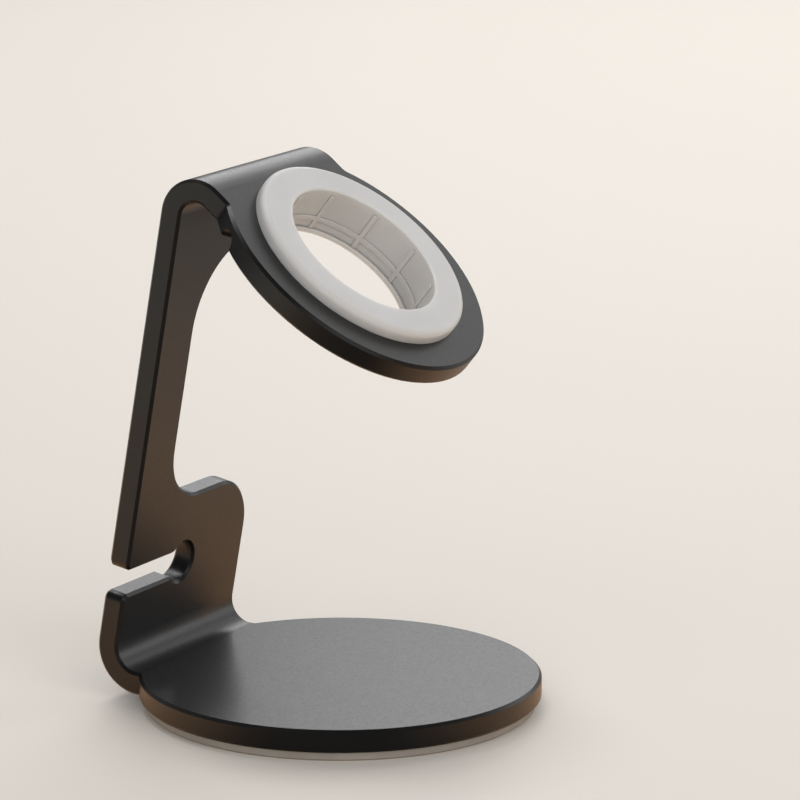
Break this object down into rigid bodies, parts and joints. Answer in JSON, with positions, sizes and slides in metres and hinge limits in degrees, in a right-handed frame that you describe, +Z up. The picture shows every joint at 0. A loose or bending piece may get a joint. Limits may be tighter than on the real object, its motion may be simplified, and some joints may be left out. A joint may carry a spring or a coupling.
{
  "type": "smartwatch charging stand",
  "caption": "Bent plate stand with a round foot, a leaning upright with a cable slot and a sloping head whose soft ring holds a round watch charger.",
  "frame": {"origin": "on the table, at the centre of the foot's round edge", "axes": "+Z up, -Y towards the side that the watch faces, +X to the right seen from the front"},
  "size_m": [0.07, 0.073, 0.0937],
  "materials": {
    "plate_black": "fine matte black coating",
    "ring_silicone": "satin pale grey silicone",
    "pad_silicone": "matte grey silicone"
  },
  "bodies": {
    "root": {"stand_plate": "plate_black", "charger_ring": "ring_silicone", "foot_pad": "pad_silicone"}
  },
  "joints": []
}
